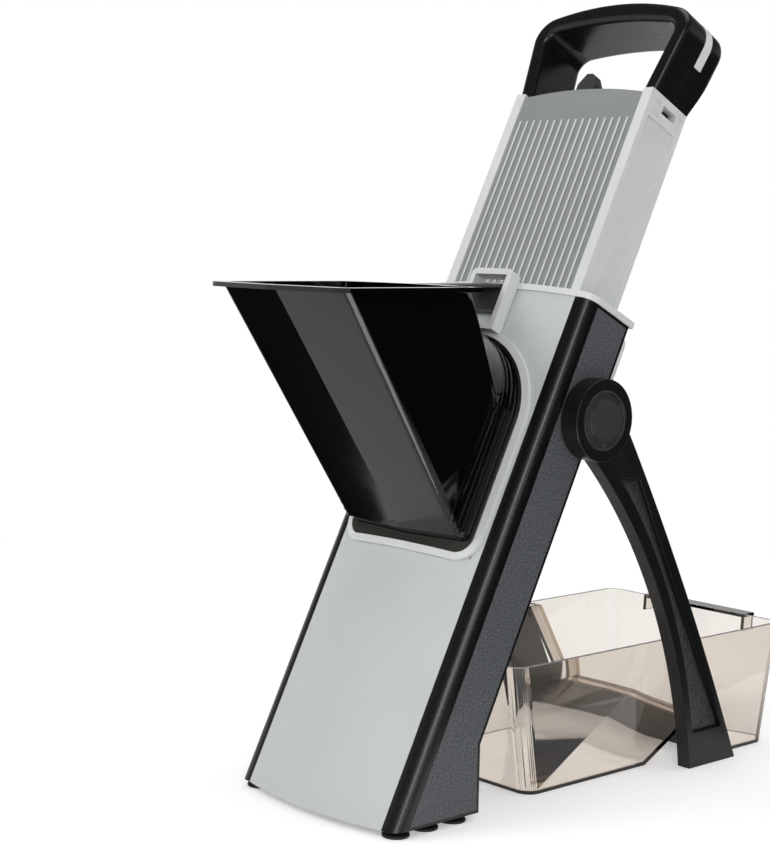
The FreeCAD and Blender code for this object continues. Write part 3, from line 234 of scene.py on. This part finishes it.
# A finish for each material slot of the record.
spring_steel = brushed_steel("spring_steel", (0.5, 0.5, 0.52), roughness=0.3, stretch=(1, 1, 1))
FINISH = {
    "panel_grey": moulded("panel_grey", (0.56, 0.585, 0.58), roughness=0.34, grain=0.5, depth=0.008,
                          unevenness=0.02),
    "light_grey": moulded("light_grey", (0.70, 0.715, 0.715), roughness=0.38, grain=0.6, depth=0.010,
                          unevenness=0.02),
    "rib_grey": moulded("rib_grey", (0.27, 0.285, 0.28), roughness=0.36, grain=0.6, depth=0.012,
                        unevenness=0.03),
    "shell_black": moulded("shell_edge", (0.004, 0.004, 0.005), roughness=0.3, grain=1.2, depth=0.001,
                           unevenness=0.1),
    "leg_black": moulded("leg_satin", (0.007, 0.007, 0.008), roughness=0.36, grain=0.8, depth=0.006,
                         unevenness=0.1, specular=0.35),
    "inner_black": moulded("inner_black", (0.018, 0.018, 0.020), roughness=0.5, grain=0.8, depth=0.015,
                           unevenness=0.08),
    "knob_black": moulded("knob_black", (0.042, 0.044, 0.047), roughness=0.34, grain=0.7, depth=0.010,
                          unevenness=0.08),
    "grip_black": moulded("grip_black", (0.007, 0.007, 0.008), roughness=0.26, grain=0.7, depth=0.006,
                          unevenness=0.08, specular=0.33),
    "chute_black": moulded("chute_black", (0.002, 0.002, 0.0025), roughness=0.1, grain=4.0, depth=0.0005,
                           unevenness=0.1, specular=0.36),
    "seal_dark": moulded("seal_dark", (0.035, 0.034, 0.029), roughness=0.22, grain=1.5, depth=0.010,
                         unevenness=0.1),
    "foot_rubber": moulded("foot_rubber", (0.010, 0.010, 0.011), roughness=0.6, grain=0.6, depth=0.020,
                           unevenness=0.1),
    "inlay_silver": moulded("inlay_silver", (0.74, 0.75, 0.76), roughness=0.25, grain=0.5, depth=0.005,
                            unevenness=0.02),
    "blade_steel": brushed_steel("blade_steel", (0.62, 0.63, 0.64), roughness=0.28, stretch=(0.04, 1, 1)),
    "spring_steel": spring_steel,
    "screw_steel": spring_steel,
    "smoke_clear": smoke_plastic("smoke_clear", (0.55, 0.40, 0.24), density=155.0),
}

# Second finishes, for some faces of a piece.
# Painted highlight: a paler grey for the tops of the landing plate's ribs, which are the plate's own
# plastic.
painted_crest_highlight = moulded("painted_crest_highlight", (0.62, 0.64, 0.63), roughness=0.3, grain=0.6, depth=0.008, unevenness=0.03)
# Painted shade: near-black for the bin's bottom edge and grip, which the clear plastic shows dark when seen
# along it.
smoke_edge_painted_shade = moulded("smoke_edge_painted_shade", (0.006, 0.005, 0.004), roughness=0.12, grain=2.0, depth=0.005,
                     unevenness=0.1)
# Real grain in relief, with pale specks in the colour as painted glints.
shell_grain_and_glint = spark_eroded("shell_grain_and_glint", (0.010, 0.011, 0.012), painted_glint=(0.17, 0.18, 0.195))
leg_grain_and_glint = spark_eroded("leg_grain_and_glint", (0.008, 0.009, 0.010), painted_glint=(0.10, 0.106, 0.115))


# Faces that take a second finish

SHELL_FACE = 57.0 * MILLIMETRE
SHELL_BORDER = 1.4 * MILLIMETRE
SHELL_SINK = 0.15 * MILLIMETRE
LEG_RECESS = 63.1 * MILLIMETRE
LEG_BORDER = 0.5 * MILLIMETRE
LEG_SINK = 0.1 * MILLIMETRE
FACE_TOLERANCE = 0.05 * MILLIMETRE
BIN_FLOOR = 2.0 * MILLIMETRE
GRIP_LOW = 55.0 * MILLIMETRE
GRIP_FRONT = 151.6 * MILLIMETRE
RIB_TOP = 0.3 * MILLIMETRE

# How much of a face's normal lies along a direction.
SIDEWAYS = 0.999
FORWARD = 0.9
STEEP = 0.5


def inset_flank(shape, outermost, border, sink):
    """Insets the flat outer face of a flank, so that its middle takes a grain inside a plain border."""
    for side in (-outermost, outermost):
        flank = [face for face in shape.faces
                 if abs(face.normal.x) > SIDEWAYS
                 and abs(face.calc_center_median().x - side) < FACE_TOLERANCE]
        if not flank:
            continue
        bmesh.ops.inset_region(shape, faces=flank, thickness=border, depth=-sink, use_even_offset=True)
        for face in flank:
            face.material_index = 1


def grain_shell(shape):
    """Gives a side shell its grained flank."""
    inset_flank(shape, SHELL_FACE, SHELL_BORDER, SHELL_SINK)


def grain_leg(shape):
    """Gives a leg its grained recess."""
    inset_flank(shape, LEG_RECESS, LEG_BORDER, LEG_SINK)


def paint_edge_shade(shape):
    """Paints the bin's bottom edge and its grip near-black, a painted shade for how dark they look when
    seen along the plastic.
    """
    everything = shape.verts[:] + shape.edges[:] + shape.faces[:]
    bmesh.ops.bisect_plane(shape, geom=everything, plane_co=(0, 0, BIN_FLOOR), plane_no=(0, 0, 1))
    for face in shape.faces:
        centre = face.calc_center_median()
        at_foot = centre.z < BIN_FLOOR and abs(face.normal.z) < STEEP
        on_grip = centre.y > GRIP_FRONT and centre.z > GRIP_LOW and abs(face.normal.x) < STEEP
        if at_foot or on_grip:
            face.material_index = 1


def paint_crest_highlights(shape):
    """Paints the tops of the landing plate's ribs paler, a painted highlight on the rib crests."""
    proud = max(vertex.co.dot(OUT_TOWER) for vertex in shape.verts)
    for face in shape.faces:
        looks_out = face.normal.dot(OUT_TOWER) > FORWARD
        on_top = face.calc_center_median().dot(OUT_TOWER) > proud - RIB_TOP
        if looks_out and on_top:
            face.material_index = 1


SECOND_FINISH = {
    "left_side_shell": (grain_shell, shell_grain_and_glint),
    "right_side_shell": (grain_shell, shell_grain_and_glint),
    "left_leg": (grain_leg, leg_grain_and_glint),
    "right_leg": (grain_leg, leg_grain_and_glint),
    "catch_container": (paint_edge_shade, smoke_edge_painted_shade),
    "landing_plate": (paint_crest_highlights, painted_crest_highlight),
}


# Pieces that stand for CAD nodes

EDGE = 0.4 * MILLIMETRE
EDGES = {
    "front_panel": 0.6 * MILLIMETRE,
    "chute_frame": 0.6 * MILLIMETRE,
    "top_collar": 0.6 * MILLIMETRE,
    "landing_plate": 0.5 * MILLIMETRE,
    "left_leg": 0.7 * MILLIMETRE,
    "right_leg": 0.7 * MILLIMETRE,
    "feed_chute": 0.3 * MILLIMETRE,
    "catch_container": 0.3 * MILLIMETRE,
    "bridge_screws": 0.3 * MILLIMETRE,
    "handle_front_half": 0.25 * MILLIMETRE,
    "handle_rear_half": 0.25 * MILLIMETRE,
    "slicing_blade": 0.0,
    "left_spring_rod": 0.0,
    "right_spring_rod": 0.0,
}
EDGE_SEGMENTS = 3
SHARP_ANGLE = math.radians(32)
FLAT_ANGLE = math.radians(0.5)
SAME_PLACE = 0.001 * MILLIMETRE
MIDDLE_CREASE = 0.01 * MILLIMETRE
SPRINGS = ("left_return_spring", "right_return_spring")

slot_of = {part["node"]: part["material_slot"] for part in frame["record"]["subparts"]}
bodies = frame["record"]["behaviour"]["bodies"]
body_of = {node: body for body, members in bodies.items() for node in members}


def add_piece(name, mesh, node):
    """A mesh that takes a node's place, on the node's body; the mesh comes with its finish."""
    piece = bpy.data.objects.new(name, mesh)
    bpy.context.scene.collection.objects.link(piece)
    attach(piece, body_of[node])
    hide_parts(node)
    return piece


def clean_shape(node):
    """A node's mesh with its vertices joined and its flat faces whole."""
    shape = bmesh.new()
    shape.from_mesh(frame["nodes"][node].data)
    bmesh.ops.remove_doubles(shape, verts=shape.verts, dist=SAME_PLACE)
    bmesh.ops.dissolve_limit(shape, angle_limit=FLAT_ANGLE, verts=shape.verts, edges=shape.edges)
    for face in shape.faces:
        face.material_index = 0
    return shape


def soften(piece, width):
    """Rounds the sharp edges and shades the rest smooth."""
    piece.data.shade_smooth()
    piece.data.set_sharp_from_angle(angle=SHARP_ANGLE)
    if width:
        bevel = piece.modifiers.new("edges", "BEVEL")
        bevel.width = width
        bevel.segments = EDGE_SEGMENTS
        bevel.limit_method = "ANGLE"
        bevel.angle_limit = SHARP_ANGLE
        bevel.harden_normals = True
        bevel.use_clamp_overlap = True
        bevel.miter_outer = "MITER_ARC"


def crease_middle(mesh):
    """Keeps the blunt crease down the middle of the hopper's front."""
    for edge in mesh.edges:
        if all(abs(mesh.vertices[end].co.x) < MIDDLE_CREASE for end in edge.vertices):
            edge.use_edge_sharp = True


def finish_node(node):
    """A softened copy of a node in its slot's finish."""
    shape = clean_shape(node)
    mesh = bpy.data.meshes.new(node + "_finish")
    mesh.materials.append(FINISH[slot_of[node]])
    if node in SECOND_FINISH:
        mark_faces, material = SECOND_FINISH[node]
        mark_faces(shape)
        mesh.materials.append(material)
    shape.to_mesh(mesh)
    shape.free()
    piece = add_piece(node + "_finish", mesh, node)
    soften(piece, EDGES.get(node, EDGE))
    if node == "feed_chute":
        crease_middle(mesh)


for node in sorted(frame["nodes"]):
    if node not in SPRINGS:
        finish_node(node)


# Return springs

SPRING_TURNS = 46
SPRING_STEPS = 14
WIRE_RADIUS = 0.45 * MILLIMETRE
WIRE_SIDES = 6
SPRING_LENGTH = 233.0 * MILLIMETRE
ACROSS = Vector((1, 0, 0))


def wire_ring(shape, centre, outward):
    """The corners of the wire's cross-section at one point of a coil."""
    ring = []
    for side in range(WIRE_SIDES):
        angle = 2 * math.pi * side / WIRE_SIDES
        offset = outward * math.cos(angle) + UP_TOWER * math.sin(angle)
        ring.append(shape.verts.new(centre + offset * WIRE_RADIUS))
    return ring


def coil_mesh(name, foot, coil_radius):
    """A coil of wire that winds up the tower from its foot."""
    shape = bmesh.new()
    rings = []
    steps = SPRING_TURNS * SPRING_STEPS
    for step in range(steps + 1):
        turn = 2 * math.pi * step / SPRING_STEPS
        rise = WIRE_RADIUS + (SPRING_LENGTH - 2 * WIRE_RADIUS) * step / steps
        outward = ACROSS * math.cos(turn) + OUT_TOWER * math.sin(turn)
        rings.append(wire_ring(shape, foot + UP_TOWER * rise + outward * coil_radius, outward))
    for first, second in zip(rings, rings[1:]):
        for side in range(WIRE_SIDES):
            following = (side + 1) % WIRE_SIDES
            shape.faces.new((first[side], first[following], second[following], second[side]))
    shape.faces.new(rings[0][::-1])
    shape.faces.new(rings[-1])
    bmesh.ops.recalc_face_normals(shape, faces=shape.faces)
    mesh = bpy.data.meshes.new(name)
    shape.to_mesh(mesh)
    shape.free()
    mesh.materials.append(spring_steel)
    mesh.shade_smooth()
    return mesh


def coil_spring(node):
    """A wound compression spring on its rod, modelled at one length; the real spring shortens as the
    carriage goes down.
    """
    low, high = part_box(node)
    foot = (low + high) / 2 - UP_TOWER * SPRING_LENGTH / 2
    coil_radius = (high.x - low.x) / 2 - WIRE_RADIUS
    piece = add_piece(node + "_coil", coil_mesh(node + "_coil", foot, coil_radius), node)
    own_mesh(piece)


for node in SPRINGS:
    coil_spring(node)


# Studio

PLAIN_LIGHT = 0.36
DARK_CEILING = 0.1
CEILING_START, CEILING_STOP = 0.12, 0.4
FLOOR_HALF = 4.0
FLOOR_TONE = (0.82, 0.82, 0.82, 1)
FLOOR_GLOW = 0.36
SHADOW_REACH = 0.22
WHITE_REACH = 0.75
# Black of the cards that paint dark reflections.
PAINTED_REFLECTION_BLACK = (0.004, 0.004, 0.004, 1)
LAMP_TARGET = Vector((0, 0, 0.2))


def stage_sheet(name, corners, material):
    """A flat sheet of the studio, which isn't part of the slicer."""
    mesh = bpy.data.meshes.new(name)
    mesh.from_pydata(corners, [], [(0, 1, 2, 3)])
    mesh.materials.append(material)
    sheet = bpy.data.objects.new(name, mesh)
    bpy.context.scene.collection.objects.link(sheet)
    return sheet


def backdrop_rays(tree):
    """Whether a ray meets the background straight or through clear plastic, and whether by reflection."""
    path = tree.nodes.new("ShaderNodeLightPath").outputs
    straight = combine(tree, "MAXIMUM", path["Is Camera Ray"], path["Is Transmission Ray"])
    return straight, path["Is Glossy Ray"]


def studio_world():
    """White round about, a dark ceiling for reflections alone, and a plain level of light."""
    world = bpy.data.worlds.new("studio")
    world.use_nodes = True
    bpy.context.scene.world = world
    tree = world.node_tree
    background = tree.nodes["Background"]
    background.inputs["Color"].default_value = WHITE
    straight, glossy = backdrop_rays(tree)
    place = tree.nodes.new("ShaderNodeTexCoord")
    split = tree.nodes.new("ShaderNodeSeparateXYZ")
    tree.links.new(place.outputs["Generated"], split.inputs["Vector"])
    mirrored = between(tree, split.outputs["Z"], 1.0, DARK_CEILING, CEILING_START, CEILING_STOP)
    unseen = between(tree, glossy, PLAIN_LIGHT, mirrored)
    tree.links.new(between(tree, straight, unseen, 1.0), background.inputs["Strength"])


def floor_white():
    """Pale near the slicer, to hold its shadow, and plain white further off."""
    material, tree, shader = new_shader("floor_white")
    shader.inputs["Base Color"].default_value = FLOOR_TONE
    shader.inputs["Roughness"].default_value = 0.7
    shader.inputs["Specular IOR Level"].default_value = 0.2
    shader.inputs["Emission Color"].default_value = WHITE
    seen = combine(tree, "MAXIMUM", *backdrop_rays(tree))
    tree.links.new(combine(tree, "MULTIPLY", seen, FLOOR_GLOW), shader.inputs["Emission Strength"])
    place = tree.nodes.new("ShaderNodeTexCoord")
    distance = tree.nodes.new("ShaderNodeVectorMath")
    distance.operation = "LENGTH"
    tree.links.new(place.outputs["Object"], distance.inputs[0])
    fade = between(tree, distance.outputs["Value"], 0.0, 1.0, SHADOW_REACH, WHITE_REACH)
    white = tree.nodes.new("ShaderNodeEmission")
    mix = tree.nodes.new("ShaderNodeMixShader")
    tree.links.new(combine(tree, "MULTIPLY", fade, seen), mix.inputs["Fac"])
    tree.links.new(shader.outputs["BSDF"], mix.inputs[1])
    tree.links.new(white.outputs["Emission"], mix.inputs[2])
    tree.links.new(mix.outputs["Shader"], tree.nodes["Material Output"].inputs["Surface"])
    return material


def studio_floor():
    """A square floor that the slicer stands on the middle of."""
    corners = [(-FLOOR_HALF, -FLOOR_HALF, 0), (FLOOR_HALF, -FLOOR_HALF, 0),
               (FLOOR_HALF, FLOOR_HALF, 0), (-FLOOR_HALF, FLOOR_HALF, 0)]
    stage_sheet("floor", corners, floor_white())


def card(name, corner, along, across, glow=0.0):
    """A card that only reflections see: black, a painted dark reflection to keep polished black deep, or
    glowing, a painted highlight.
    """
    material, _, shader = new_shader(name)
    shader.inputs["Base Color"].default_value = PAINTED_REFLECTION_BLACK
    shader.inputs["Roughness"].default_value = 0.9
    shader.inputs["Emission Color"].default_value = WHITE
    shader.inputs["Emission Strength"].default_value = glow
    corner, along, across = Vector(corner), Vector(along), Vector(across)
    sheet = stage_sheet(name, [corner, corner + along, corner + along + across, corner + across], material)
    sheet.visible_camera = False
    sheet.visible_diffuse = False
    sheet.visible_transmission = False
    sheet.visible_shadow = False


def area_lamp(name, place, width, height, power, mirrored=True):
    """A rectangular lamp aimed at the slicer, which reflections may be kept from showing."""
    data = bpy.data.lights.new(name, "AREA")
    data.shape = "RECTANGLE"
    data.size = width
    data.size_y = height
    data.energy = power
    lamp = bpy.data.objects.new(name, data)
    bpy.context.scene.collection.objects.link(lamp)
    place = Vector(place)
    lamp.matrix_world = (LAMP_TARGET - place).to_track_quat("-Z", "Y").to_matrix().to_4x4()
    lamp.matrix_world.translation = place
    lamp.visible_glossy = mirrored


# The camera was fitted to the tower's edges in the photograph, which is 861 pixels tall.

CAMERA_PLACE = Vector((0.65078, -0.67607, 0.27175))
CAMERA_YAW = math.radians(47.85)
CAMERA_PITCH = math.radians(6.04)
CAMERA_ROLL = math.radians(1.18)
FOCAL_PIXELS = 1853.75
PHOTO_HEIGHT = 861
SENSOR = 36.0


def photo_camera():
    """A camera at the photograph's place, which looks down a little and is rolled a little."""
    level = math.cos(CAMERA_PITCH)
    forward = Vector((-math.sin(CAMERA_YAW) * level, math.cos(CAMERA_YAW) * level, -math.sin(CAMERA_PITCH)))
    right = Vector((math.cos(CAMERA_YAW), math.sin(CAMERA_YAW), 0))
    above = right.cross(forward)
    rolled_right = right * math.cos(CAMERA_ROLL) + above * math.sin(CAMERA_ROLL)
    rolled_above = above * math.cos(CAMERA_ROLL) - right * math.sin(CAMERA_ROLL)
    data = bpy.data.cameras.new("photo_camera")
    data.sensor_fit = "VERTICAL"
    data.sensor_height = SENSOR
    data.lens = SENSOR * FOCAL_PIXELS / PHOTO_HEIGHT
    camera = bpy.data.objects.new("photo_camera", data)
    bpy.context.scene.collection.objects.link(camera)
    camera.matrix_world = Matrix((rolled_right, rolled_above, -forward)).transposed().to_4x4()
    camera.matrix_world.translation = CAMERA_PLACE
    bpy.context.scene.camera = camera


studio_world()
studio_floor()
area_lamp("key", place=(-0.9, -1.5, 1.4), width=1.2, height=1.2, power=17, mirrored=False)
area_lamp("fill", place=(1.35, -1.05, 0.95), width=0.45, height=1.0, power=10)
area_lamp("top", place=(0.1, 0.5, 1.8), width=1.6, height=1.2, power=12)
# Cards that only reflections see: four black ones paint dark reflections, and corner_glow paints a
# highlight on the hopper's corner.
card("left_card", corner=(-0.35, -0.25, 0.001), along=(0.245, 0.21, 0), across=(-0.35, 0, 0))
card("rear_card", corner=(0.12, 0, 0.001), along=(1.3, 0, 0), across=(0, 1.3, 0))
card("side_flag", corner=(1.4, 0.25, 0), along=(0, -0.6, 0), across=(0, 0, 0.75))
card("right_flag", corner=(0.45, 1.15, 0), along=(0.95, -0.95, 0), across=(0, 0, 0.55))
card("corner_glow", corner=(0.06, -0.36, 0.001), along=(0.36, 0, 0), across=(0, 0.2, 0), glow=6.0)
photo_camera()
bpy.context.scene.view_settings.view_transform = "Standard"
